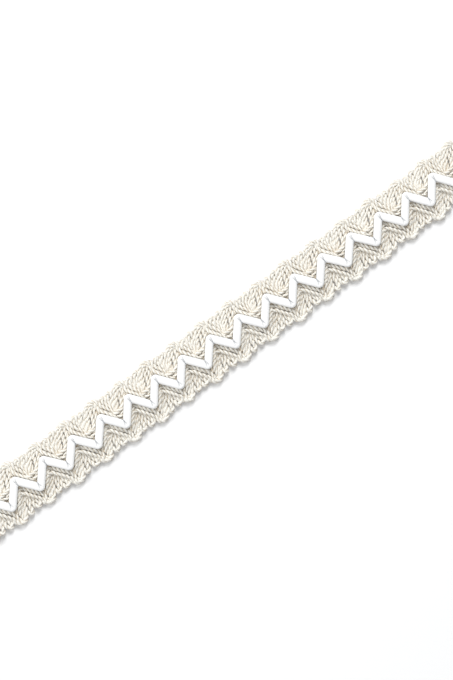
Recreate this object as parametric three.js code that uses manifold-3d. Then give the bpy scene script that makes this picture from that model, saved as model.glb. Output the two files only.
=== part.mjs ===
// A straight cut length of looped cotton braid trimming with a white zigzag cord.
// Millimetres, +Z up. The braid lies flat on z = 0 along X, centred on the origin, where a leg of
// the zigzag cord crosses the middle of the band.
import * as THREE from 'three';
import { mergeVertices } from 'three/addons/utils/BufferGeometryUtils.js';
import Module from 'manifold-3d';

const wasm = await Module();
wasm.setup();

// Driving dimensions
const PITCH = 9;              // length of one zigzag
const REPEATS = 19;           // zigzags in the cut length
const CUT_LENGTH = PITCH * REPEATS;
const CUTTER = 40;            // width and height of the block that squares off the cut ends

// The zigzag cord is a soft flattened tube whose legs fold over sharply at each tip.
const TIP_X = PITCH / 4;      // from the middle of a leg to its tips, along the band
const TIP_REACH = 3.7;        // outer edge of a tip
const TIP_ROUND = 1.28;       // radius of that edge
const CROTCH_REACH = 1;       // inner edge of a tip
const CROTCH_ROUND = 0.12;
const TIP_TURN = 51;          // degrees from the tip's middle to where the legs start
const TIP_STEPS = 3;
const CORD_Z = 2.15;
const CORD_HALF_THICK = 0.6;
const CORD_FLAT = 0.24;       // share of the width on each side that slopes down

// Cream cords
const YARN = 1.28;            // width of one cord
const FOOT_WIDTH = 0.42;      // what shows of it where the fan gathers
const LOOP_SLOT = 0.12;       // gap between the two legs of a loop
const LOOP_STEPS = 4;         // steps of the bend at its head
const HEAD_TOP = 1.15;        // height of a loop's head
const FOOT_TOP = 1.35;        // height of its feet

// Unevenness of the hand-fed braid. The zigzags stray along the band in two slow waves, each with
// its reach, its length in zigzags and its start.
const DRIFTS = [
  { reach: 0.35, wave: 11, start: 4.96 },
  { reach: 0.18, wave: 5, start: 3.87 },
];
const UNEVEN = 0.16;          // how much the loops differ in reach and in the place of their heads
const UNEVEN_TURN = 2.4;      // radians from one fan's share of it to the next
const LOOP_TURN = 2;          // and from one loop of a fan to the next
const HEADS_FROM = 6;         // only what reaches further out than this is uneven

// The pair of cords that edges the zigzag cord, one row a section, from the head of the fan edge
// down to the notch, where it is wide and carries the feet of the loops, and up to the next head.
// "in" is the side at the zigzag cord, "out" the side at the loops, and y runs outward from the
// middle of the band.
const UPPER_PAIR = [
  { inX: -2.25, inY: 6.7, outX: -2.25, outY: 7.95, top: 1.25 },
  { inX: -2.17, inY: 6.5, outX: -1.3, outY: 7.4, top: 1.3 },
  { inX: -2.13, inY: 4.6, outX: -1, outY: 5.6, top: 1.55 },
  { inX: -1.3, inY: 2.9, outX: 0.2, outY: 3.8, top: 1.75 },
  { inX: 1.95, inY: -0.85, outX: 1.5, outY: 2.45, top: 1.95 },
  { inX: 2.55, inY: -0.85, outX: 3.5, outY: 2.45, top: 1.95 },
  { inX: 5.8, inY: 2.9, outX: 4.2, outY: 3.8, top: 1.75 },
  { inX: 6.63, inY: 4.6, outX: 4.75, outY: 5.4, top: 1.55 },
  { inX: 6.67, inY: 6.5, outX: 5.4, outY: 7.3, top: 1.3 },
];
const LOWER_PAIR = [
  { inX: -2.2, inY: 6.7, outX: -2.2, outY: 7.95, top: 1.25 },
  { inX: -2.12, inY: 6.5, outX: -1.1, outY: 7.3, top: 1.3 },
  { inX: -2.05, inY: 4.6, outX: -0.65, outY: 6, top: 1.55 },
  { inX: -1.3, inY: 2.75, outX: 0.3, outY: 4.2, top: 1.75 },
  { inX: 0.75, inY: 0.45, outX: 1.85, outY: 2.7, top: 1.9 },
  { inX: 3.75, inY: 0.45, outX: 3.4, outY: 2.6, top: 1.85 },
  { inX: 5.9, inY: 3, outX: 4.6, outY: 3.9, top: 1.75 },
  { inX: 6.68, inY: 4.6, outX: 5.2, outY: 5.4, top: 1.55 },
  { inX: 6.72, inY: 6.5, outX: 5.6, outY: 7.2, top: 1.3 },
];

// The loops that stand in each notch, a row for each.
const UPPER_LOOPS = [
  { headX: 0.5, reach: 7.15, leftFootX: 1.75, rightFootX: 2.2 },
  { headX: 3.3, reach: 7.3, leftFootX: 2.65, rightFootX: 3.1 },
];
const LOWER_LOOPS = [
  { headX: 0.92, reach: 7.05, leftFootX: 1.95, rightFootX: 2.36 },
  { headX: 3.72, reach: 7.3, leftFootX: 2.78, rightFootX: 3.18 },
];
const FOOT_Y = 2.1;

// Cross-sections: "across" runs from one edge to the other and "up" from the surface to the top.
const UNDER = -0.4;           // below the surface, for the cutter to level
const PAIR_PROFILE = [
  { across: 0, up: UNDER },
  { across: 0.22, up: 1 },
  { across: 0.5, up: 0.72 },
  { across: 0.78, up: 1 },
  { across: 1, up: UNDER },
];
const YARN_PROFILE = [
  { across: 0, up: UNDER },
  { across: 0.24, up: 1 },
  { across: 0.76, up: 1 },
  { across: 1, up: UNDER },
];
const CORD_PROFILE = [
  { across: 0, up: 0 },
  { across: CORD_FLAT, up: 1 },
  { across: 1 - CORD_FLAT, up: 1 },
  { across: 1, up: 0 },
  { across: 1 - CORD_FLAT, up: -1 },
  { across: CORD_FLAT, up: -1 },
];

// A closed body through sections that each have a left edge, a right edge, a base and a height.
function loft(sections, profile) {
  const count = profile.length;
  const points = sections.flatMap(({ left, right, base, height }) =>
    profile.map(({ across, up }) => [
      THREE.MathUtils.lerp(right.x, left.x, across),
      THREE.MathUtils.lerp(right.y, left.y, across),
      base + up * height,
    ]));
  const faces = [];
  for (let section = 0; section < sections.length - 1; section++) {
    for (let side = 0; side < count; side++) {
      const a = section * count + side;
      const b = section * count + (side + 1) % count;
      faces.push(a, a + count, b, b, a + count, b + count);
    }
  }
  const last = (sections.length - 1) * count;
  for (let side = 1; side < count - 1; side++) {
    faces.push(0, side, side + 1);
    faces.push(last, last + side + 1, last + side);
  }
  const geometry = new THREE.BufferGeometry();
  geometry.setAttribute('position', new THREE.Float32BufferAttribute(points.flat(), 3));
  geometry.setIndex(faces);
  return geometry;
}

function toSolid(geometry) {
  const bare = geometry.clone();
  bare.deleteAttribute('normal');
  bare.deleteAttribute('uv');
  const merged = mergeVertices(bare, 1e-3);
  return new wasm.Manifold(new wasm.Mesh({
    numProp: 3,
    vertProperties: new Float32Array(merged.attributes.position.array),
    triVerts: new Uint32Array(merged.index.array),
  }));
}

function toGeometry(solid) {
  const mesh = solid.getMesh();
  const geometry = new THREE.BufferGeometry();
  geometry.setAttribute('position', new THREE.BufferAttribute(mesh.vertProperties, 3));
  geometry.setIndex(new THREE.BufferAttribute(mesh.triVerts, 1));
  geometry.computeVertexNormals();
  return geometry;
}

// The slow stray of the zigzags along the band. "turned" is -1 on the row that is laid turned
// half round, so that both rows keep step with the zigzag cord.
function stray(x, turned) {
  return DRIFTS.reduce((place, { reach, wave, start }) =>
    place + turned * reach * Math.cos((2 * Math.PI * ((turned * x) / PITCH + start)) / wave), x);
}

function uneven(index, phase) {
  return UNEVEN * Math.sin(index * UNEVEN_TURN + phase);
}

// Zigzag numbers, 0 in the middle, with spare ones at each end for the cutter to take off.
function repeatNumbers(spare) {
  const half = (REPEATS - 1) / 2 + spare;
  return Array.from({ length: 2 * half + 1 }, (_, index) => index - half);
}

function tipSections(tipX, sign) {
  const turn = THREE.MathUtils.degToRad(TIP_TURN);
  return Array.from({ length: TIP_STEPS + 1 }, (_, step) => {
    const angle = turn * ((2 * step) / TIP_STEPS - 1);
    const edge = (reach, round) => new THREE.Vector2(
      stray(tipX, 1) + round * Math.sin(angle),
      sign * (reach - round + round * Math.cos(angle)));
    const outer = edge(TIP_REACH, TIP_ROUND);
    const inner = edge(CROTCH_REACH, CROTCH_ROUND);
    return {
      left: sign > 0 ? outer : inner,
      right: sign > 0 ? inner : outer,
      base: CORD_Z,
      height: CORD_HALF_THICK,
    };
  });
}

function zigzagCordShape() {
  const sections = repeatNumbers(1).flatMap((repeat) => [
    ...tipSections(repeat * PITCH - TIP_X, 1),
    ...tipSections(repeat * PITCH + TIP_X, -1),
  ]);
  return toSolid(loft(sections, CORD_PROFILE));
}

function pairShape(rows, turned) {
  const sections = repeatNumbers(1).flatMap((repeat) => rows.map((row) => {
    const x = (place) => stray(repeat * PITCH + place, turned);
    const head = Math.round(repeat + row.outX / PITCH);
    const give = row.outY > HEADS_FROM ? uneven(head, 0) : 0;
    return {
      left: new THREE.Vector2(x(row.outX), row.outY + give),
      right: new THREE.Vector2(x(row.inX), row.inY),
      base: 0,
      height: row.top,
    };
  }));
  return toSolid(loft(sections, PAIR_PROFILE));
}

// One loop, from its left foot up round its head and down to its right foot.
function loopShape(repeat, row, phase, turned) {
  const x = (place) => stray(repeat * PITCH + place, turned);
  const headX = x(row.headX) + uneven(repeat, phase);
  const outRound = YARN + LOOP_SLOT / 2;
  const headY = row.reach + uneven(repeat, phase + 1) - outRound;
  const foot = (footX, outward) => ({
    left: new THREE.Vector2(x(footX) + (outward * FOOT_WIDTH) / 2, FOOT_Y),
    right: new THREE.Vector2(x(footX) - (outward * FOOT_WIDTH) / 2, FOOT_Y),
    base: 0,
    height: FOOT_TOP,
  });
  const head = Array.from({ length: LOOP_STEPS + 1 }, (_, step) => {
    const angle = Math.PI * (1 - step / LOOP_STEPS);
    const edge = (round) => new THREE.Vector2(
      headX + round * Math.cos(angle), headY + round * Math.sin(angle));
    return { left: edge(outRound), right: edge(LOOP_SLOT / 2), base: 0, height: HEAD_TOP };
  });
  const sections = [foot(row.leftFootX, -1), ...head, foot(row.rightFootX, 1)];
  return toSolid(loft(sections, YARN_PROFILE));
}

function loopedRowShape(pairRows, loopRows, turned) {
  const pieces = [pairShape(pairRows, turned)];
  for (const repeat of repeatNumbers(0)) {
    loopRows.forEach((row, index) => {
      pieces.push(loopShape(repeat, row, index * LOOP_TURN, turned));
    });
  }
  return wasm.Manifold.union(pieces);
}

// Levels the underside, squares off both ends, and gives the mesh its name and finish.
function finishedPiece(name, solid, material) {
  const block = new THREE.BoxGeometry(CUT_LENGTH, CUTTER, CUTTER);
  block.translate(0, 0, CUTTER / 2);
  const mesh = new THREE.Mesh(toGeometry(solid.intersect(toSolid(block))), material);
  mesh.name = name;
  return mesh;
}

const creamCotton = (shade) => new THREE.MeshStandardMaterial({
  color: shade, roughness: 0.92, metalness: 0,
});
const whiteSatin = new THREE.MeshStandardMaterial({
  color: 0xfafafa, roughness: 0.6, metalness: 0,
});

const upperLoops = finishedPiece(
  'upper_loops', loopedRowShape(UPPER_PAIR, UPPER_LOOPS, 1), creamCotton(0xece7da));
const lowerLoops = finishedPiece(
  'lower_loops', loopedRowShape(LOWER_PAIR, LOWER_LOOPS, -1), creamCotton(0xe9e4d6));
lowerLoops.rotation.z = Math.PI;
const zigzagCord = finishedPiece('zigzag_cord', zigzagCordShape(), whiteSatin);

const braid = new THREE.Group();
braid.add(upperLoops, lowerLoops, zigzagCord);

export default braid;
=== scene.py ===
"""A straight length of looped cotton gimp braid with a white zigzag cord, in soft studio light.

The two looped rows are laid from plied cotton strands: an inner and an outer edging strand that
follow the zigzag, one strand that makes the loops of the fans, and a thin one under them. A soft
white cord is folded from side to side over the feet of both rows.
"""

import logging
import math
import random
from collections.abc import Iterable
from dataclasses import dataclass, field
from enum import Enum
from typing import Any

import bpy
from mathutils import Matrix, Vector


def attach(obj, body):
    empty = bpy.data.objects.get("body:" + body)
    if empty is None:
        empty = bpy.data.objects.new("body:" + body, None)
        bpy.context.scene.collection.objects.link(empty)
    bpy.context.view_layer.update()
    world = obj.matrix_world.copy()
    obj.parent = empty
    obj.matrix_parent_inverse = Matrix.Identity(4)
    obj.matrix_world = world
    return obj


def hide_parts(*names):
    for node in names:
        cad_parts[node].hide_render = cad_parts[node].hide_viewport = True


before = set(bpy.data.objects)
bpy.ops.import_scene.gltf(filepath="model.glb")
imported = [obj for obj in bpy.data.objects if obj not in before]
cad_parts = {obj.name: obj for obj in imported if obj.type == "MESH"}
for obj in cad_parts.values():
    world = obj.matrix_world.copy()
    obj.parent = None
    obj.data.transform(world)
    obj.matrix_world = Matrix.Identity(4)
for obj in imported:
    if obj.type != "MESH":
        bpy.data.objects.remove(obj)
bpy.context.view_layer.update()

log = logging.getLogger("gimp_braid")

MM = 0.001
PITCH = 9.0
REPEATS = 19
HALF_LENGTH = PITCH * REPEATS / 2
TIP_X = PITCH / 4
LAID = (REPEATS + 1) // 2 + 1
Point = tuple[float, float, float]
Colour = tuple[float, float, float]


class Value:
    """A number socket of a node tree, on which Python's operators add Math nodes."""

    def __init__(self, graph: "Graph", socket: bpy.types.NodeSocket) -> None:
        """Wraps an output socket of the graph's tree."""
        self.graph = graph
        self.socket = socket

    def math(self, operation: str, *others: Any) -> "Value":
        """Returns this value put through a Math node with the other values."""
        return self.graph.math(operation, self, *others)

    def __add__(self, other: Any) -> "Value":
        """Returns the sum."""
        return self.graph.math("ADD", self, other)

    def __radd__(self, other: Any) -> "Value":
        """Returns the sum, with this value second."""
        return self.graph.math("ADD", other, self)

    def __sub__(self, other: Any) -> "Value":
        """Returns the difference."""
        return self.graph.math("SUBTRACT", self, other)

    def __rsub__(self, other: Any) -> "Value":
        """Returns the difference, with this value second."""
        return self.graph.math("SUBTRACT", other, self)

    def __mul__(self, other: Any) -> "Value":
        """Returns the product."""
        return self.graph.math("MULTIPLY", self, other)

    def __rmul__(self, other: Any) -> "Value":
        """Returns the product, with this value second."""
        return self.graph.math("MULTIPLY", other, self)

    def __truediv__(self, other: Any) -> "Value":
        """Returns the quotient."""
        return self.graph.math("DIVIDE", self, other)

    def __rtruediv__(self, other: Any) -> "Value":
        """Returns the quotient, with this value second."""
        return self.graph.math("DIVIDE", other, self)


class Graph:
    """Adds nodes to one node tree and links them."""

    def __init__(self, tree: bpy.types.NodeTree) -> None:
        """Keeps the tree that the nodes go into."""
        self.tree = tree

    def node(
        self,
        kind: str,
        settings: dict[str, Any] | None = None,
        inputs: dict[str | int, Any] | None = None,
    ) -> bpy.types.Node:
        """Adds one node.

        Args:
            kind: The node's type name.
            settings: Its properties, such as a Math node's operation, which are set first.
            inputs: Values or links of its input sockets, by name or number.

        Returns:
            The new node.
        """
        made = self.tree.nodes.new(kind)
        for name, value in (settings or {}).items():
            setattr(made, name, value)
        for name, value in (inputs or {}).items():
            self.feed(made.inputs[name], value)
        return made

    def feed(self, socket: bpy.types.NodeSocket, value: Any) -> None:
        """Links or sets one input.

        Args:
            socket: The input.
            value: A Value, a node, whose first output is meant, a socket, or a plain value.
        """
        if isinstance(value, Value):
            value = value.socket
        elif isinstance(value, bpy.types.Node):
            value = value.outputs[0]
        if isinstance(value, bpy.types.NodeSocket):
            self.tree.links.new(value, socket)
        else:
            socket.default_value = value

    def math(self, operation: str, *values: Any) -> Value:
        """Returns the result of one Math node on the values."""
        made = self.node("ShaderNodeMath", {"operation": operation}, dict(enumerate(values)))
        return Value(self, made.outputs[0])

    def vector(self, operation: str, *values: Any, scale: Any = None) -> bpy.types.NodeSocket:
        """Returns the vector result of one Vector Math node.

        Args:
            operation: The node's operation.
            values: Its vectors.
            scale: The factor of a SCALE operation.

        Returns:
            The node's vector output.
        """
        inputs: dict[str | int, Any] = dict(enumerate(values))
        if scale is not None:
            inputs["Scale"] = scale
        return self.node("ShaderNodeVectorMath", {"operation": operation}, inputs).outputs["Vector"]

    def number(self, node: bpy.types.Node, output: str | int = 0) -> Value:
        """Returns a node's output as a Value."""
        return Value(self, node.outputs[output])

    def store(self, geometry: Any, name: str, value: Any, kind: str = "FLOAT") -> bpy.types.Node:
        """Keeps a value on each point of a geometry.

        Args:
            geometry: The geometry.
            name: The attribute's name.
            value: What it holds.
            kind: Its data type.

        Returns:
            The node, whose output is the geometry with the attribute.
        """
        return self.node(
            "GeometryNodeStoreNamedAttribute", {"data_type": kind, "domain": "POINT"},
            {"Geometry": geometry, "Name": name, "Value": value},
        )

    def mix_colour(self, factor: Any, first: Any, second: Any) -> bpy.types.NodeSocket:
        """Returns the mix of two colours by a factor."""
        inputs = {0: factor, 6: first, 7: second}
        return self.node("ShaderNodeMix", {"data_type": "RGBA"}, inputs).outputs[2]


class NodeModifier:
    """A Geometry Nodes tree with named inputs, and its use on one object."""

    def __init__(self, name: str) -> None:
        """Makes an empty tree with a geometry input and output.

        Args:
            name: The tree's name.
        """
        self.tree = bpy.data.node_groups.new(name, "GeometryNodeTree")
        self.graph = Graph(self.tree)
        for way in ("INPUT", "OUTPUT"):
            self.tree.interface.new_socket(
                "Geometry", in_out=way, socket_type="NodeSocketGeometry"
            )
        self.keys: dict[str, str] = {}
        self.group_input = self.graph.node("NodeGroupInput")
        self.group_output = self.graph.node("NodeGroupOutput")

    def add_input(self, name: str, kind: str) -> bpy.types.NodeSocket:
        """Adds a named input and returns its socket inside the tree.

        Args:
            name: The input's name.
            kind: Float, Int or Material.

        Returns:
            The group input's output socket of that name.
        """
        made = self.tree.interface.new_socket(
            name, in_out="INPUT", socket_type=f"NodeSocket{kind}"
        )
        self.keys[name] = made.identifier
        return self.group_input.outputs[name]

    def finish(self, geometry: Any, material: Any) -> None:
        """Ends the tree in Realize Instances and Set Material.

        Args:
            geometry: What the tree has made.
            material: The input that holds its finish.
        """
        real = self.graph.node("GeometryNodeRealizeInstances", None, {"Geometry": geometry})
        dressed = self.graph.node(
            "GeometryNodeSetMaterial", None, {"Geometry": real, "Material": material}
        )
        self.graph.feed(self.group_output.inputs["Geometry"], dressed)

    def bake(
        self, source: bpy.types.Object, name: str, values: dict[str, Any]
    ) -> bpy.types.Object:
        """Runs the tree on an object and keeps the result as a plain mesh.

        Args:
            source: The object that the tree starts from. It is removed.
            name: The new object's name.
            values: The tree's inputs by name.

        Returns:
            The new mesh object, at the origin.
        """
        modifier = source.modifiers.new(self.tree.name, "NODES")
        modifier.node_group = self.tree
        for key, value in values.items():
            modifier[self.keys[key]] = value
        evaluated = source.evaluated_get(bpy.context.evaluated_depsgraph_get())
        mesh = bpy.data.meshes.new_from_object(evaluated)
        mesh.name = name
        source.modifiers.remove(modifier)
        bpy.data.objects.remove(source)
        return place_mesh(mesh, name)


def place_mesh(mesh: bpy.types.Mesh, name: str) -> bpy.types.Object:
    """Shows a mesh.

    Args:
        mesh: The mesh, in place.
        name: The new object's name.

    Returns:
        A new object at the origin.
    """
    made = bpy.data.objects.new(name, mesh)
    bpy.context.scene.collection.objects.link(made)
    return made


def new_material(name: str) -> tuple[bpy.types.Material, Graph, bpy.types.Node]:
    """Makes a plain material.

    Args:
        name: Its name.

    Returns:
        The material, its graph and its shader.
    """
    made = bpy.data.materials.new(name)
    made.use_nodes = True
    return made, Graph(made.node_tree), made.node_tree.nodes["Principled BSDF"]


@dataclass(frozen=True)
class CottonFinish:
    """Matt cream cotton whose fibres run along each ply.

    Its tone goes from the deep to the light colour. Painted shade darkens it towards the deep
    colour near the strand's middle, in the grooves between the plies, and painted light lightens
    it where the surface faces up; the fibres' streaks and larger patches vary it at random.
    """

    name: str
    light: Colour
    deep: Colour
    groove_shade_tone: float = 1.5
    top_light_tone: float = 0.75
    noise_tone: float = 0.6
    tone_shift: float = -1.67
    streak_scale: Point = (0.9, 3.2, 3.2)
    patch_scale: float = 260.0
    roughness: float = 0.98
    streak_gloss: float = 0.12
    fibre_bump: float = 0.35
    fibre_height: float = 0.06

    def material(self) -> bpy.types.Material:
        """Builds the finish from a strand's own "lay" and "crown" attributes.

        Returns:
            The material.
        """
        made, graph, shader = new_material(self.name)
        lay = graph.node("ShaderNodeAttribute", {"attribute_name": "lay"}).outputs["Vector"]
        place = graph.node("ShaderNodeTexCoord").outputs["Object"]
        streaks = graph.number(graph.node(
            "ShaderNodeTexNoise",
            {"noise_dimensions": "3D"},
            {"Vector": graph.vector("MULTIPLY", lay, self.streak_scale), "Scale": 1.0,
             "Detail": 3.0, "Roughness": 0.6},
        ))
        patches = graph.number(graph.node(
            "ShaderNodeTexNoise",
            {"noise_dimensions": "3D"},
            {"Vector": place, "Scale": self.patch_scale, "Detail": 2.0, "Roughness": 0.5},
        ))
        # Painted shade: a low crown, near the strand's middle, pulls the tone down in the grooves
        # between the plies.
        crown = graph.number(
            graph.node("ShaderNodeAttribute", {"attribute_name": "crown"}), "Fac"
        )
        # Painted light: the tone rises the more the surface faces up, as if lit from above.
        normal = graph.node("ShaderNodeNewGeometry").outputs["Normal"]
        upward = graph.number(graph.node("ShaderNodeSeparateXYZ", None, {0: normal}), "Z")
        tone = crown * self.groove_shade_tone + upward * self.top_light_tone
        tone = tone + (streaks + patches) * self.noise_tone + self.tone_shift
        tone = tone.math("MINIMUM", 1.0).math("MAXIMUM", 0.0)
        colour = graph.mix_colour(tone, (*self.deep, 1.0), (*self.light, 1.0))
        graph.feed(shader.inputs["Base Color"], colour)
        graph.feed(shader.inputs["Roughness"], self.roughness - streaks * self.streak_gloss)
        bump = graph.node(
            "ShaderNodeBump", None,
            {"Strength": self.fibre_bump, "Distance": self.fibre_height * MM, "Height": streaks},
        )
        graph.feed(shader.inputs["Normal"], bump)
        shader.inputs["Specular IOR Level"].default_value = 0.25
        shader.inputs["Sheen Weight"].default_value = 0.25
        shader.inputs["Sheen Roughness"].default_value = 0.6
        return made


@dataclass(frozen=True)
class SatinFinish:
    """Smooth soft white cord with fine threads that run round it, and a faint sheen."""

    name: str
    colour: Colour
    crease_shade_colour: Colour
    thread_scale: Point = (7.0, 1.2, 1.2)
    roughness: float = 0.5
    thread_roughness: float = 0.2
    thread_bump: float = 0.12
    thread_height: float = 0.04

    def material(self) -> bpy.types.Material:
        """Builds the finish from the cord's "crease" and "lay" attributes.

        Returns:
            The material.
        """
        made, graph, shader = new_material(self.name)
        crease = graph.number(
            graph.node("ShaderNodeAttribute", {"attribute_name": "crease"}), "Fac"
        )
        lay = graph.node("ShaderNodeAttribute", {"attribute_name": "lay"}).outputs["Vector"]
        threads = graph.number(graph.node(
            "ShaderNodeTexNoise",
            {"noise_dimensions": "3D"},
            {"Vector": graph.vector("MULTIPLY", lay, self.thread_scale), "Scale": 1.0,
             "Detail": 2.0, "Roughness": 0.55},
        ))
        # Painted shade: the cord turns towards the grey crease colour where the tips' folds are
        # pressed in.
        colour = graph.mix_colour(crease, (*self.colour, 1.0), (*self.crease_shade_colour, 1.0))
        graph.feed(shader.inputs["Base Color"], colour)
        graph.feed(shader.inputs["Roughness"], self.roughness + threads * self.thread_roughness)
        bump = graph.node(
            "ShaderNodeBump", None,
            {"Strength": self.thread_bump, "Distance": self.thread_height * MM,
             "Height": threads},
        )
        graph.feed(shader.inputs["Normal"], bump)
        shader.inputs["Specular IOR Level"].default_value = 0.4
        shader.inputs["Sheen Weight"].default_value = 0.15
        return made


@dataclass(frozen=True)
class FibreFinish:
    """Single loose cotton fibres."""

    name: str
    colour: Colour

    def material(self) -> bpy.types.Material:
        """Builds the finish, plain and matt.

        Returns:
            The material.
        """
        made, _, shader = new_material(self.name)
        shader.inputs["Base Color"].default_value = (*self.colour, 1.0)
        shader.inputs["Roughness"].default_value = 0.9
        shader.inputs["Specular IOR Level"].default_value = 0.1
        return made


@dataclass(frozen=True)
class PaperFinish:
    """Plain white studio paper."""

    name: str
    colour: Colour
    tooth_scale: float = 900.0
    tooth_bump: float = 0.02
    tooth_height: float = 0.05

    def material(self) -> bpy.types.Material:
        """Builds the finish, with a very fine paper tooth.

        Returns:
            The material.
        """
        made, graph, shader = new_material(self.name)
        place = graph.node("ShaderNodeTexCoord").outputs["Object"]
        tooth = graph.node(
            "ShaderNodeTexNoise", None,
            {"Vector": place, "Scale": self.tooth_scale, "Detail": 1.0},
        )
        bump = graph.node(
            "ShaderNodeBump", None,
            {"Strength": self.tooth_bump, "Distance": self.tooth_height * MM, "Height": tooth},
        )
        graph.feed(shader.inputs["Normal"], bump)
        shader.inputs["Base Color"].default_value = (*self.colour, 1.0)
        shader.inputs["Roughness"].default_value = 0.95
        shader.inputs["Specular IOR Level"].default_value = 0.0
        return made


@dataclass(frozen=True)
class Wave:
    """One slow wave of the stray: how far it goes, its length and its start in zigzags."""

    reach: float
    length: float
    start: float

    def at(self, x: float) -> float:
        """Returns the stray at a place along the braid."""
        return self.reach * math.cos(2 * math.pi * (x / PITCH + self.start) / self.length)


@dataclass(frozen=True)
class Feed:
    """The unevenness with which the braid was fed: a slow stray along it, and uneven loops."""

    waves: tuple[Wave, ...] = (Wave(0.35, 11.0, 4.96), Wave(0.18, 5.0, 3.87))
    uneven: float = 0.16
    uneven_turn: float = 2.4

    def stray(self, x: float) -> float:
        """Returns where a place along the braid really lies."""
        return x + sum(wave.at(x) for wave in self.waves)

    def give(self, index: int, phase: float) -> float:
        """Returns how much one loop differs from the plain one."""
        return self.uneven * math.sin(index * self.uneven_turn + phase)


FEED = Feed()


class Side(Enum):
    """The edge of the braid that a looped row makes."""

    UPPER = 1
    LOWER = -1


class Fan(Enum):
    """The loop that a point of a strand belongs to."""

    PEAK = 0
    FIRST = 1
    SECOND = 2


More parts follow.
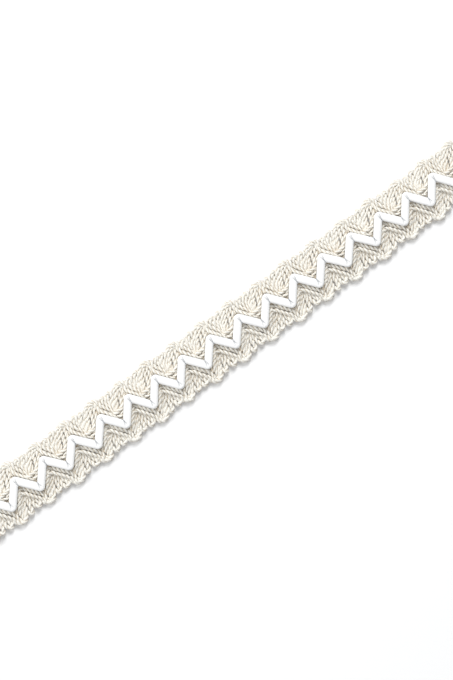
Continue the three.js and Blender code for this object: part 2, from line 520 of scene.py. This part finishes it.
class PliedStrands:
    """Geometry Nodes that lay a few round plies helically round each line.

    The twist wanders a little and the plies swell in lumps. The ply seed keeps the lumps of two
    plies apart, and the ply shift their fibres.
    """

    WANDER_SCALE = 420.0
    WANDER_TURN = 0.35
    LUMP_SCALE = 800.0
    PLY_SEED = 3.7
    PLY_SHIFT = 7.0

    def __init__(self) -> None:
        """Builds the tree."""
        self.modifier = NodeModifier("plied_strands")
        graph = self.modifier.graph
        add = self.modifier.add_input
        plies, sides = add("Plies", "Int"), add("Sides", "Int")
        ply_radius = Value(graph, add("Ply Radius", "Float"))
        lay_radius = Value(graph, add("Lay Radius", "Float"))
        twist = Value(graph, add("Twist Length", "Float"))
        step = add("Step", "Float")
        slub = Value(graph, add("Slub", "Float"))
        seed = Value(graph, add("Seed", "Float"))
        material = add("Material", "Material")

        even = graph.node(
            "GeometryNodeResampleCurve", {"mode": "LENGTH"},
            {"Curve": self.modifier.group_input.outputs["Geometry"], "Length": step},
        )
        copies = graph.node(
            "GeometryNodeDuplicateElements", {"domain": "SPLINE"},
            {"Geometry": even, "Amount": plies},
        )
        length = graph.number(graph.node("GeometryNodeSplineParameter"), "Length")
        ply = graph.number(copies, "Duplicate Index")
        position = graph.node("GeometryNodeInputPosition")
        wander = graph.number(graph.node(
            "ShaderNodeTexNoise", {"noise_dimensions": "4D"},
            {"Vector": position, "W": seed, "Scale": self.WANDER_SCALE, "Detail": 1.0},
        ))
        turns = length / twist + ply / Value(graph, plies) + wander * self.WANDER_TURN
        turn = turns * (2 * math.pi)
        thickness = graph.number(graph.node("GeometryNodeInputRadius"))
        lay_reach = lay_radius * thickness
        tangent = graph.node("GeometryNodeInputTangent")
        normal = graph.node("GeometryNodeInputNormal")
        across = graph.vector("CROSS_PRODUCT", tangent, normal)
        offset = graph.vector(
            "ADD",
            graph.vector("SCALE", normal, scale=turn.math("COSINE") * lay_reach),
            graph.vector("SCALE", across, scale=turn.math("SINE") * lay_reach),
        )
        kept = graph.store(copies.outputs["Geometry"], "along", length / MM)
        kept = graph.store(kept, "ply", ply)
        kept = graph.store(kept, "core", position, "FLOAT_VECTOR")
        laid = graph.node(
            "GeometryNodeSetPosition", None, {"Geometry": kept, "Offset": offset}
        )
        lumps = graph.number(graph.node(
            "ShaderNodeTexNoise", {"noise_dimensions": "4D"},
            {"Vector": position, "W": seed + ply * self.PLY_SEED, "Scale": self.LUMP_SCALE,
             "Detail": 1.0},
        ))
        swollen = graph.node(
            "GeometryNodeSetCurveRadius", None,
            {"Curve": laid, "Radius": thickness * (1.0 + (lumps - 0.5) * slub)},
        )
        circle = graph.node(
            "GeometryNodeCurvePrimitiveCircle", {"mode": "RADIUS"},
            {"Resolution": sides, "Radius": ply_radius.socket},
        )
        around = graph.number(graph.node("GeometryNodeSplineParameter"), "Factor") * (2 * math.pi)
        rim = graph.store(circle, "around", around)
        tubes = graph.node(
            "GeometryNodeCurveToMesh", None,
            {"Curve": swollen, "Profile Curve": rim, "Fill Caps": True,
             "Scale": graph.node("GeometryNodeInputRadius")},
        )
        read = {
            key: graph.number(graph.node(
                "GeometryNodeInputNamedAttribute", {"data_type": "FLOAT"}, {"Name": key}
            ))
            for key in ("along", "ply", "around")
        }
        lay = graph.node("ShaderNodeCombineXYZ", None, {
            "X": read["along"],
            "Y": read["around"].math("COSINE") + read["ply"] * self.PLY_SHIFT,
            "Z": read["around"].math("SINE"),
        })
        marked = graph.store(tubes, "lay", lay, "FLOAT_VECTOR")
        # The crown is how far a point lies from the strand's middle; the cotton finish turns it
        # into painted shade in the grooves between the plies.
        core = graph.node(
            "GeometryNodeInputNamedAttribute", {"data_type": "FLOAT_VECTOR"}, {"Name": "core"}
        )
        apart = graph.vector("SUBTRACT", position, core)
        reach = Value(graph, graph.node(
            "ShaderNodeVectorMath", {"operation": "LENGTH"}, {0: apart}
        ).outputs["Value"])
        marked = graph.store(marked, "crown", reach / (ply_radius + lay_radius))
        smooth = graph.node("GeometryNodeSetShadeSmooth", None, {"Geometry": marked})
        self.modifier.finish(smooth, material)

    def spin(
        self, lines: list[list[Point]], name: str, yarn: "Yarn", material: bpy.types.Material
    ) -> bpy.types.Object:
        """Lays a yarn along lines.

        Args:
            lines: The strand's own middle lines, in millimetres.
            name: The piece's name.
            yarn: The yarn's sizes.
            material: Its finish.

        Returns:
            The finished mesh.
        """
        curve = bpy.data.curves.new(name, "CURVE")
        curve.dimensions = "3D"
        for line in lines:
            spline = curve.splines.new("POLY")
            spline.points.add(len(line) - 1)
            for point, place in zip(spline.points, line):
                point.co = (*(Vector(place) * MM), 1.0)
                point.radius = yarn.thickness(abs(place[1]))
        source = bpy.data.objects.new(f"{name}_lines", curve)
        bpy.context.scene.collection.objects.link(source)
        return self.modifier.bake(source, name, {
            "Plies": yarn.plies, "Sides": yarn.sides,
            "Ply Radius": yarn.ply_radius * MM, "Lay Radius": yarn.lay_radius * MM,
            "Twist Length": yarn.twist_length * MM, "Step": yarn.step * MM,
            "Slub": yarn.slub, "Seed": yarn.seed, "Material": material,
        })


def rise(value: float, start: float, end: float) -> float:
    """Returns how far a value has come from start to end, from 0 to 1."""
    return min(max((value - start) / (end - start), 0.0), 1.0)


@dataclass(frozen=True)
class Yarn:
    """Sizes of a plied cotton yarn, in millimetres.

    It has the foot share of its thickness up to the foot reach from the braid's middle, and the
    head share from the head reach on.
    """

    plies: int = 2
    sides: int = 9
    ply_radius: float = 0.335
    lay_radius: float = 0.235
    twist_length: float = 2.5
    step: float = 0.27
    slub: float = 0.3
    seed: float = 1.0
    foot_share: float = 1.0
    head_share: float = 1.0
    foot_reach: float = 2.0
    head_reach: float = 5.5

    def thickness(self, outward: float) -> float:
        """Returns the share of the full thickness at a distance from the braid's middle."""
        share = rise(outward, self.foot_reach, self.head_reach)
        return self.foot_share + (self.head_share - self.foot_share) * share

    def resting_height(self, outward: float) -> float:
        """Returns the middle line's height where the strand, slubs and all, lies on the table."""
        swollen = self.ply_radius * (1 + self.slub / 3)
        return (swollen + self.lay_radius) * self.thickness(outward)


class LooseFibres:
    """Geometry Nodes that let short fibres stand off a strand's upper side.

    A fibre is bent once. Each is turned at random on its root, and the shortest is a share of the
    full length.
    """

    LOWEST_FACING = -0.1
    SHORTEST = 0.4
    LEAST_TURN = (-0.5, -0.6, -math.pi)
    MOST_TURN = (0.5, 0.6, math.pi)

    def __init__(self) -> None:
        """Builds the tree."""
        self.modifier = NodeModifier("loose_fibres")
        graph = self.modifier.graph
        density = self.modifier.add_input("Density", "Float")
        seed = self.modifier.add_input("Seed", "Int")
        length = self.modifier.add_input("Length", "Float")
        radius = self.modifier.add_input("Radius", "Float")
        lowest = self.modifier.add_input("Lowest", "Float")
        material = self.modifier.add_input("Material", "Material")

        height, facing = (
            graph.number(graph.node("ShaderNodeSeparateXYZ", None, {0: graph.node(kind)}), "Z")
            for kind in ("GeometryNodeInputPosition", "GeometryNodeInputNormal")
        )
        open_side = (
            height.math("GREATER_THAN", Value(graph, lowest))
            * facing.math("GREATER_THAN", self.LOWEST_FACING)
        )
        roots = graph.node(
            "GeometryNodeDistributePointsOnFaces", {"distribute_method": "RANDOM"},
            {"Mesh": self.modifier.group_input.outputs["Geometry"], "Selection": open_side,
             "Density": density, "Seed": seed},
        )
        fibre = graph.node(
            "GeometryNodeCurveQuadraticBezier", None,
            {"Resolution": 3, "Start": (0.0, 0.0, -0.05), "Middle": (0.12, 0.0, 0.45),
             "End": (0.95, 0.1, 0.55)},
        )
        turn = graph.node(
            "FunctionNodeRandomValue", {"data_type": "FLOAT_VECTOR"},
            {"Min": self.LEAST_TURN, "Max": self.MOST_TURN, "Seed": seed},
        )
        turned = graph.node(
            "FunctionNodeRotateRotation", {"rotation_space": "LOCAL"},
            {"Rotation": roots.outputs["Rotation"],
             "Rotate By": graph.node("FunctionNodeEulerToRotation", None, {"Euler": turn})},
        )
        size = graph.node(
            "FunctionNodeRandomValue", {"data_type": "FLOAT"},
            {2: self.SHORTEST, 3: 1.0, "Seed": seed},
        )
        stood = graph.node(
            "GeometryNodeInstanceOnPoints", None,
            {"Points": roots.outputs["Points"], "Instance": fibre, "Rotation": turned,
             "Scale": Value(graph, size.outputs[1]) * Value(graph, length)},
        )
        real = graph.node("GeometryNodeRealizeInstances", None, {"Geometry": stood})
        rim = graph.node(
            "GeometryNodeCurvePrimitiveCircle", {"mode": "RADIUS"},
            {"Resolution": 3, "Radius": radius},
        )
        hairs = graph.node(
            "GeometryNodeCurveToMesh", None,
            {"Curve": real, "Profile Curve": rim, "Fill Caps": True},
        )
        self.modifier.finish(hairs, material)

    def grow(
        self, yarns: bpy.types.Object, name: str, fuzz: "Fuzz", material: bpy.types.Material
    ) -> bpy.types.Object:
        """Stands fibres on a piece of yarn.

        Args:
            yarns: The piece, which is kept as it is.
            name: The new piece's name.
            fuzz: The fibres' sizes.
            material: Their finish.

        Returns:
            The fibres as a mesh of their own.
        """
        source = place_mesh(yarns.data.copy(), f"{name}_roots")
        return self.modifier.bake(source, name, {
            "Density": fuzz.per_square_mm / MM ** 2, "Seed": fuzz.seed,
            "Length": fuzz.length * MM, "Radius": fuzz.radius * MM,
            "Lowest": fuzz.lowest * MM, "Material": material,
        })


@dataclass(frozen=True)
class Fuzz:
    """Sizes of the loose fibres, in millimetres."""

    per_square_mm: float = 1.6
    length: float = 0.7
    radius: float = 0.011
    lowest: float = 0.95
    seed: int = 3


@dataclass(frozen=True)
class Route:
    """One repeat of a strand's middle line.

    Each point is the distance along the braid from the row's peak, the distance outward from the
    middle of the braid, and the height, in millimetres. A looped route makes the fans. The first
    and the second loop of its notch start, and the second ends, at the distances along.
    """

    points: tuple[Point, ...]
    looped: bool = False
    first_start: float = 2.2
    second_start: float = 4.15
    second_end: float = 6.55

    def fan_of(self, along: float) -> tuple[Fan, int]:
        """Finds the loop that a point belongs to.

        Args:
            along: The point's distance from the row's peak.

        Returns:
            The loop, and how many repeats further on it is.
        """
        if along < (self.first_start if self.looped else PITCH / 2):
            return Fan.PEAK, 0
        if not self.looped or along > self.second_end:
            return Fan.PEAK, 1
        return (Fan.FIRST if along < self.second_start else Fan.SECOND), 0


BED = Route((
    (0.00, 4.85, 0.80), (0.22, 4.50, 0.80), (0.36, 3.90, 0.80), (0.80, 3.10, 0.60),
    (1.70, 1.90, 0.38), (2.70, 0.70, 0.40), (3.50, -0.10, 0.60), (4.10, -0.50, 0.80),
    (4.50, -0.58, 0.85), (4.90, -0.50, 0.80), (5.50, -0.10, 0.60), (6.30, 0.70, 0.40),
    (7.30, 1.90, 0.38), (8.20, 3.10, 0.60), (8.64, 3.90, 0.80), (8.78, 4.50, 0.80),
))


@dataclass(frozen=True)
class RowPlan:
    """The strands of a looped row, with a thin one on which the others lie."""

    side: Side
    inner: Route
    outer: Route
    loops: Route
    bed: Route = BED


UPPER_PLAN = RowPlan(
    side=Side.UPPER,
    inner=Route((
        (0.13, 6.72, 0.68), (0.55, 6.30, 0.70), (0.66, 5.40, 0.82), (1.00, 4.28, 1.08),
        (1.53, 3.46, 1.20), (2.05, 2.68, 1.20), (2.68, 1.76, 1.10), (3.20, 0.95, 1.00),
        (3.85, 0.42, 0.95), (4.50, 0.25, 0.95), (5.15, 0.42, 0.92), (6.00, 1.10, 0.90),
        (7.20, 2.20, 0.82), (7.70, 3.00, 0.82), (8.22, 3.90, 0.85), (8.56, 4.80, 0.85),
        (8.66, 5.60, 0.78), (8.74, 6.35, 0.70),
    )),
    outer=Route((
        (0.05, 7.05, 0.95), (0.65, 6.75, 0.85), (0.85, 6.00, 0.64), (0.95, 5.00, 0.64),
        (1.45, 3.90, 0.64), (2.25, 2.70, 0.64), (3.00, 1.85, 0.70), (3.70, 1.55, 1.20),
        (4.50, 1.48, 1.42), (5.40, 1.52, 1.42), (6.05, 1.72, 1.38), (6.50, 2.30, 1.30),
        (7.00, 3.35, 1.20), (7.35, 4.50, 1.02), (7.62, 5.60, 0.88), (7.95, 6.45, 0.90),
        (8.50, 6.95, 0.95),
    )),
    loops=Route((
        (0.00, 7.66, 0.80), (0.95, 7.34, 0.80), (1.56, 6.56, 0.82), (1.80, 5.49, 0.79),
        (2.48, 4.28, 0.74), (3.04, 3.28, 0.80), (3.62, 2.25, 0.72), (4.00, 1.15, 0.52),
        (4.15, 2.15, 0.66), (3.90, 3.20, 0.70), (3.35, 4.60, 0.64), (2.80, 5.72, 0.77),
        (2.75, 6.50, 0.80), (3.20, 6.98, 0.80), (3.72, 6.50, 0.80), (3.75, 5.59, 0.77),
        (4.10, 4.30, 0.72), (4.38, 3.00, 0.80), (4.44, 1.15, 0.52), (4.66, 1.15, 0.52),
        (4.65, 3.30, 0.74), (4.58, 4.40, 0.68), (4.65, 5.33, 0.74), (4.82, 6.56, 0.82),
        (5.38, 7.11, 0.82), (5.92, 6.63, 0.82), (5.70, 5.39, 0.77), (5.25, 4.40, 0.74),
        (4.98, 3.45, 0.80), (4.92, 1.20, 0.52), (5.18, 1.25, 0.52), (5.45, 2.60, 0.80),
        (5.75, 3.55, 0.88), (6.10, 4.40, 0.80), (6.60, 5.39, 0.81), (6.98, 6.63, 0.84),
        (7.90, 7.38, 0.80),
    ), looped=True),
)

LOWER_PLAN = RowPlan(
    side=Side.LOWER,
    inner=Route((
        (0.10, 6.70, 0.68), (0.60, 6.35, 0.70), (0.70, 5.30, 0.84), (0.98, 4.28, 1.10),
        (1.50, 3.32, 1.22), (2.05, 2.60, 1.22), (2.72, 1.72, 1.18), (3.32, 0.84, 1.08),
        (3.95, 0.14, 0.92), (4.45, -0.14, 0.82), (4.95, 0.12, 0.92), (5.92, 1.25, 1.18),
        (6.88, 2.52, 1.26), (7.90, 3.75, 1.16), (8.50, 5.05, 0.90), (8.66, 6.30, 0.74),
    )),
    outer=Route((
        (-0.20, 7.30, 0.85), (0.60, 7.10, 0.80), (1.05, 6.40, 0.64), (1.10, 5.50, 0.64),
        (1.30, 4.15, 0.64), (1.95, 2.90, 0.64), (2.90, 1.75, 0.65), (3.75, 1.12, 1.12),
        (4.50, 1.28, 1.35), (5.25, 2.16, 1.38), (5.90, 3.08, 1.35), (7.10, 4.68, 1.15),
        (7.64, 5.57, 1.00), (8.02, 6.60, 0.90),
    )),
    loops=Route((
        (0.10, 7.32, 0.80), (1.05, 7.00, 0.80), (1.60, 6.30, 0.80), (1.68, 5.40, 0.71),
        (1.92, 4.25, 0.62), (2.42, 3.05, 0.66), (3.10, 1.95, 0.66), (3.65, 0.95, 0.50),
        (3.62, 2.05, 0.66), (3.10, 3.00, 0.74), (2.70, 4.20, 0.70), (2.48, 5.40, 0.75),
        (2.58, 6.15, 0.80), (3.10, 6.60, 0.80), (3.66, 6.15, 0.80), (3.75, 5.40, 0.75),
        (3.85, 4.00, 0.72), (3.95, 2.80, 0.76), (4.05, 0.90, 0.50), (4.36, 0.90, 0.50),
        (4.60, 2.90, 0.70), (4.75, 4.20, 0.66), (4.95, 5.50, 0.75), (5.16, 6.10, 0.80),
        (5.75, 6.45, 0.80), (6.36, 6.05, 0.80), (6.30, 5.45, 0.72), (5.70, 4.20, 0.60),
        (5.00, 2.80, 0.64), (4.74, 1.05, 0.50), (5.06, 1.15, 0.50), (5.70, 2.95, 0.60),
        (6.45, 4.15, 0.56), (7.05, 5.35, 0.66), (7.45, 6.30, 0.77), (8.10, 7.00, 0.79),
    ), looped=True),
)


def smooth_line(points: list[Vector], steps: int) -> list[Vector]:
    """Draws a smooth line through points, save the first and the last.

    Args:
        points: What it passes through.
        steps: How many points it has from each to the next.

    Returns:
        The line's points.
    """
    made: list[Vector] = []
    for index in range(1, len(points) - 2):
        before, start, end, after = points[index - 1:index + 3]
        for step in range(steps):
            t = step / steps
            made.append(0.5 * (
                2 * start + (end - before) * t
                + (2 * before - 5 * start + 4 * end - after) * t ** 2
                + (3 * start - 3 * end + after - before) * t ** 3
            ))
    return made


def cut_to_length(line: list[Vector]) -> list[list[Point]]:
    """Cuts a line at the braid's two ends.

    Args:
        line: The points of the whole line.

    Returns:
        Its parts that lie between the ends.
    """
    runs: list[list[Point]] = []
    inside = False
    for here, there in zip(line, line[1:]):
        start_in, end_in = abs(here.x) <= HALF_LENGTH, abs(there.x) <= HALF_LENGTH
        if start_in and not inside:
            runs.append([tuple(here)])
        if start_in != end_in:
            edge = math.copysign(HALF_LENGTH, here.x if end_in else there.x)
            cut = here.lerp(there, (edge - here.x) / (there.x - here.x))
            if end_in:
                runs.append([tuple(cut)])
            else:
                runs[-1].append(tuple(cut))
        if end_in:
            runs[-1].append(tuple(there))
        inside = end_in
    return [run for run in runs if len(run) > 3]


@dataclass
class LoopedRow:
    """One looped edge of the braid: two edging strands, the fans' strand and one under them.

    A loop strays from its plain place in full beyond the second loose distance from the braid's
    middle, and not at all within the first.
    """

    plan: RowPlan
    node: str
    finish: CottonFinish
    fibre_finish: FibreFinish
    strands: PliedStrands
    fibres: LooseFibres
    fuzz: Fuzz = field(default_factory=Fuzz)
    edging: Yarn = field(default_factory=Yarn)
    fans: Yarn = field(
        default_factory=lambda: Yarn(seed=5.0, foot_share=0.85, head_share=1.1)
    )
    bed: Yarn = field(default_factory=lambda: Yarn(seed=9.0, foot_share=0.58, head_share=0.75))
    wobble: float = 0.05
    loose_from: float = 4.0
    loose_to: float = 6.5
    path_steps: int = 6
    seed: int = 40

    def _give(self, fan: Fan, repeat: int) -> tuple[float, float]:
        """Finds how far a loop's head lies off its plain place.

        Args:
            fan: The loop.
            repeat: The repeat that it belongs to.

        Returns:
            The distances along the braid and outward.
        """
        if fan is Fan.PEAK:
            turned = repeat * self.plan.side.value
            return 0.0, FEED.give(turned, 0)
        first = (fan is Fan.FIRST) == (self.plan.side is Side.UPPER)
        phase = 0 if first else 2
        if self.plan.side is Side.UPPER:
            return FEED.give(repeat, phase), FEED.give(repeat, phase + 1)
        return -FEED.give(-repeat - 1, phase), FEED.give(-repeat - 1, phase + 1)

    def line(self, route: Route, yarn: Yarn, rng: random.Random) -> list[list[Point]]:
        """Lays a route over the whole braid.

        Args:
            route: One repeat of the strand.
            yarn: The yarn's sizes, which keep it on the table.
            rng: Where the hand-made wobble comes from.

        Returns:
            The strand's middle line in one or more runs, in millimetres.
        """
        side = self.plan.side.value
        placed: list[Vector] = []
        for repeat in range(-LAID, LAID + 1):
            for along, outward, height in route.points:
                fan, further = route.fan_of(along)
                give_x, give_y = self._give(fan, repeat + further)
                share = rise(outward, self.loose_from, self.loose_to)
                lowest = yarn.resting_height(abs(outward))
                x = FEED.stray(PITCH * repeat - side * TIP_X + along) + give_x * share
                placed.append(Vector((
                    x + rng.uniform(-1, 1) * self.wobble,
                    side * (outward + give_y * share + rng.uniform(-1, 1) * self.wobble),
                    max(height + rng.uniform(-0.5, 0.5) * self.wobble, lowest),
                )))
        return cut_to_length(smooth_line(placed, self.path_steps))

    def build(self) -> list[bpy.types.Object]:
        """Lays the row's strands and stands fibres on them.

        Returns:
            The edging strands, the fans, the bed strand and the loose fibres of the first two.
        """
        rng = random.Random(self.seed + self.plan.side.value)
        material = self.finish.material()
        edging = self.strands.spin(
            self.line(self.plan.inner, self.edging, rng)
            + self.line(self.plan.outer, self.edging, rng),
            f"{self.node}_edging", self.edging, material,
        )
        bed = self.strands.spin(
            self.line(self.plan.bed, self.bed, rng), f"{self.node}_bed", self.bed, material
        )
        fans = self.strands.spin(
            self.line(self.plan.loops, self.fans, rng), f"{self.node}_fans", self.fans, material
        )
        loose = self.fibre_finish.material()
        hairs = [
            self.fibres.grow(yarns, f"{yarns.name}_fibres", self.fuzz, loose)
            for yarns in (edging, fans)
        ]
        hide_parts(self.node)
        return [edging, fans, bed, *hairs]


def signed_power(value: float, power: float) -> float:
    """Returns a value's size raised to a power, with the value's own sign."""
    return math.copysign(abs(value) ** power, value)


@dataclass(frozen=True)
class CordSection:
    """A cross-section of the zigzag cord, by its upper and lower edge in the picture's sense."""

    upper: Vector
    lower: Vector
    side: int
    angle: float

    @property
    def middle(self) -> Vector:
        """Returns the middle of the section."""
        return (self.upper + self.lower) / 2


@dataclass
class ZigzagCord:
    """The soft white cord that is folded from side to side along the middle.

    At a tip, the outer and the inner edge are arcs that reach so far from the braid's middle. The
    section is a squared oval, and a forked crease is pressed into the top of each tip.
    """

    finish: SatinFinish
    tip_reach: float = 3.7
    tip_round: float = 1.28
    crotch_reach: float = 1.0
    crotch_round: float = 0.12
    tip_turn: float = math.radians(51)
    middle_z: float = 2.15
    half_thick: float = 0.6
    side_square: float = 0.75
    top_square: float = 0.6
    lay_reach: float = 1.5
    tip_steps: int = 22
    tip_crowding: float = 1.4
    leg_steps: int = 9
    rim_points: int = 28
    crease_depth: float = 0.46
    crease_width: float = 0.25
    crease_share: float = 0.82
    crease_fork: float = 0.15
    crease_lean: float = 0.8

    def _sections(self) -> list[CordSection]:
        """Lays the cord from tip to tip.

        Returns:
            Its cross-sections from one cut end to the other.
        """
        tips = [
            [self._tip_section(FEED.stray(PITCH * repeat - side * TIP_X), side, step)
             for step in range(self.tip_steps + 1)]
            for repeat in range(-LAID, LAID + 1) for side in (1, -1)
        ]
        sections: list[CordSection] = []
        for tip, following in zip(tips, tips[1:]):
            sections += tip
            start, end = tip[-1], following[0]
            for step in range(1, self.leg_steps):
                t = step / self.leg_steps
                sections.append(CordSection(
                    start.upper.lerp(end.upper, t), start.lower.lerp(end.lower, t),
                    start.side, math.inf,
                ))
        return [made for made in sections if abs(made.middle.x) <= HALF_LENGTH]

    def _tip_section(self, x: float, side: int, step: int) -> CordSection:
        """Makes one section of a tip, where they lie closer together towards the fold.

        Args:
            x: The tip's place along the braid.
            side: 1 for an upper tip and -1 for a lower one.
            step: The section's number in the tip.

        Returns:
            The section.
        """
        angle = self.tip_turn * signed_power(2 * step / self.tip_steps - 1, self.tip_crowding)

        def edge(reach: float, radius: float) -> Vector:
            """Returns the point of an edge at the angle."""
            return Vector((
                x + radius * math.sin(angle),
                side * (reach - radius + radius * math.cos(angle)), 0.0,
            ))

        outer = edge(self.tip_reach, self.tip_round)
        inner = edge(self.crotch_reach, self.crotch_round)
        return CordSection(*((outer, inner) if side > 0 else (inner, outer)), side, angle)

    def _crease(self, section: CordSection, share: float) -> float:
        """Returns how deep the fold is pressed in, from 0 to 1.

        Args:
            section: The cross-section.
            share: The place across the cord, 0 at the crotch and 1 at the outer edge.

        Returns:
            The share of the full depth.
        """
        if abs(section.angle) > self.tip_turn or share > self.crease_share:
            return 0.0
        width = (section.upper - section.lower).length
        reach = self.crotch_round + share * width
        lean = self.crease_lean * max(share - self.crease_fork, 0.0)
        near = min(abs(reach * math.tan(section.angle + turn)) for turn in (-lean, lean))
        fade = 1 - (share / self.crease_share) ** 2
        return math.exp(-((near / self.crease_width) ** 2)) * fade

    def build(self) -> bpy.types.Object:
        """Skins the cord's sections.

        Returns:
            The finished cord.
        """
        sections = self._sections()
        verts: list[Vector] = []
        creases: list[float] = []
        lays: list[float] = []
        travelled, before = 0.0, sections[0].middle
        for section in sections:
            travelled += (section.middle - before).length
            before = section.middle
            for rim in range(self.rim_points):
                turn = 2 * math.pi * rim / self.rim_points
                across = signed_power(math.cos(turn), self.side_square)
                up = signed_power(math.sin(turn), self.top_square)
                share = (1 + across * section.side) / 2
                fold = self._crease(section, share) if up > 0 else 0.0
                place = section.lower.lerp(section.upper, (1 + across) / 2)
                lift = up * (self.half_thick - fold * self.crease_depth)
                verts.append(Vector((place.x, place.y, self.middle_z + lift)))
                creases.append(fold)
                lays += (travelled, across * self.lay_reach, up)
        rims, count = self.rim_points, len(sections)
        faces = [
            (a * rims + b, a * rims + (b + 1) % rims,
             (a + 1) * rims + (b + 1) % rims, (a + 1) * rims + b)
            for a in range(count - 1) for b in range(rims)
        ]
        last = (count - 1) * rims
        faces.append(tuple(range(rims))[::-1])
        faces.append(tuple(last + rim for rim in range(rims)))
        made = plain_piece("zigzag_cord_soft", verts, faces)
        # The fold's depth also sets the finish's painted shade in the crease.
        made.data.attributes.new("crease", "FLOAT", "POINT").data.foreach_set("value", creases)
        lay = made.data.attributes.new("lay", "FLOAT_VECTOR", "POINT")
        lay.data.foreach_set("vector", lays)
        made.data.materials.append(self.finish.material())
        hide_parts("zigzag_cord")
        return made


def plain_piece(name: str, verts: Iterable[Vector], faces: list[tuple]) -> bpy.types.Object:
    """Makes a smooth mesh object whose faces point outwards.

    Args:
        name: The object's name.
        verts: Its points, in millimetres.
        faces: Its faces.

    Returns:
        The object, at the origin.
    """
    mesh = bpy.data.meshes.new(name)
    mesh.from_pydata([tuple(Vector(vert) * MM) for vert in verts], [], faces)
    mesh.validate()
    mesh.shade_smooth()
    return place_mesh(mesh, name)


@dataclass
class Studio:
    """The white table, the soft light and the camera.

    The scale is in the photo's pixels a millimetre, and the roll and the tilt are in degrees. A
    lamp is given by its name, its turn and height in degrees, and its power in watts.
    """

    image_height: int = 680
    lens: float = 100.0
    sensor: float = 36.0
    clip: tuple[float, float] = (0.01, 10.0)
    scale: float = 3.829
    roll: float = 36.22
    tilt: float = 6.0
    middle: Point = (0.685, -0.12, 1.5)
    floor_reach: float = 1500.0
    lamp_distance: float = 1.0
    lamp_size: float = 0.5
    lamps: tuple[tuple[str, float, float, float], ...] = (
        ("upper_light", 90.0, 36.0, 7.4),
        ("left_light", 180.0, 30.0, 5.2),
        ("right_light", 0.0, 50.0, 0.3),
        ("top_light", 270.0, 80.0, 3.2),
    )
    sky_colour: Colour = (0.92, 0.96, 1.0)
    sky_strength: float = 0.15

    def floor(self, finish: PaperFinish) -> bpy.types.Object:
        """Lays the table top.

        Args:
            finish: Its finish.

        Returns:
            The table top, which the braid lies on.
        """
        corners = ((-1, -1, 0), (1, -1, 0), (1, 1, 0), (-1, 1, 0))
        made = plain_piece(
            "table_top", [Vector(corner) * self.floor_reach for corner in corners], [(0, 1, 2, 3)]
        )
        made.data.materials.append(finish.material())
        return made

    def axes(self) -> Matrix:
        """Finds how the camera is turned.

        Returns:
            Its right, its up and its back axis as columns.
        """
        roll, tilt = math.radians(self.roll), math.radians(self.tilt)
        right = Vector((math.cos(roll), -math.sin(roll), 0))
        flat_up = Vector((math.sin(roll), math.cos(roll), 0))
        back = Vector((0, 0, 1)) * math.cos(tilt) - flat_up * math.sin(tilt)
        up = back.cross(right)
        return Matrix((right, up, back)).transposed()

    def camera(self) -> bpy.types.Object:
        """Sets the camera over the braid and a little towards the picture's lower edge.

        Returns:
            The camera.
        """
        data = bpy.data.cameras.new("camera")
        data.lens = self.lens
        data.sensor_width = self.sensor
        seen = self.image_height / self.scale
        distance = data.lens * seen / data.sensor_width * MM
        made = bpy.data.objects.new("camera", data)
        axes = self.axes()
        made.matrix_world = Matrix.Translation(
            Vector(self.middle) * MM + axes.col[2] * distance
        ) @ axes.to_4x4()
        data.clip_start, data.clip_end = self.clip
        bpy.context.scene.collection.objects.link(made)
        bpy.context.scene.camera = made
        return made

    def light(self, name: str, direction: Vector, power: float) -> None:
        """Adds one soft square light.

        Args:
            name: The light's name.
            direction: Where it stands, seen from the braid.
            power: Its power, in watts.
        """
        data = bpy.data.lights.new(name, "AREA")
        data.shape = "SQUARE"
        data.size = self.lamp_size
        data.energy = power
        made = bpy.data.objects.new(name, data)
        made.location = direction.normalized() * self.lamp_distance
        made.rotation_euler = direction.to_track_quat("Z", "Y").to_euler()
        bpy.context.scene.collection.objects.link(made)

    def lights(self) -> None:
        """Adds the soft lights, each by its turn from the picture's right and its height."""
        axes = self.axes()
        right, up, back = (axes.col[index].copy() for index in range(3))
        for name, turn, height, power in self.lamps:
            around, above = math.radians(turn), math.radians(height)
            sideways = right * math.cos(around) + up * math.sin(around)
            self.light(name, sideways * math.cos(above) + back * math.sin(above), power)
        world = bpy.data.worlds.new("even_light")
        world.use_nodes = True
        background = world.node_tree.nodes["Background"]
        background.inputs["Color"].default_value = (*self.sky_colour, 1.0)
        background.inputs["Strength"].default_value = self.sky_strength
        bpy.context.scene.world = world
        bpy.context.scene.view_settings.view_transform = "Standard"


def main() -> None:
    """Builds the braid and its studio."""
    logging.basicConfig(level=logging.INFO, format="%(message)s")
    # The cream's deep colour is painted shade in the grooves and on surfaces that face down, and
    # also the darker streaks.
    cream = CottonFinish("cream_cotton", (0.85, 0.827, 0.766), (0.57, 0.48, 0.352))
    # The white's second colour is painted shade in the tips' creases.
    white = SatinFinish("white_satin_cord", (0.91, 0.91, 0.905), (0.50, 0.51, 0.53))
    loose = FibreFinish("loose_cotton_fibre", (0.90, 0.885, 0.84))
    strands, fibres = PliedStrands(), LooseFibres()
    pieces: list[tuple[bpy.types.Object, str]] = []
    for plan, node in ((UPPER_PLAN, "upper_loops"), (LOWER_PLAN, "lower_loops")):
        row = LoopedRow(plan, node, cream, loose, strands, fibres)
        pieces += [(piece, "cream_cotton") for piece in row.build()]
    pieces.append((ZigzagCord(white).build(), "white_cord"))
    for piece, slot in pieces:
        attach(piece, "root")
        log.info("%s: %d faces", piece.name, len(piece.data.polygons))
    studio = Studio()
    studio.floor(PaperFinish("white_paper", (0.93, 0.93, 0.93)))
    studio.camera()
    studio.lights()


if __name__ == "__main__":
    main()
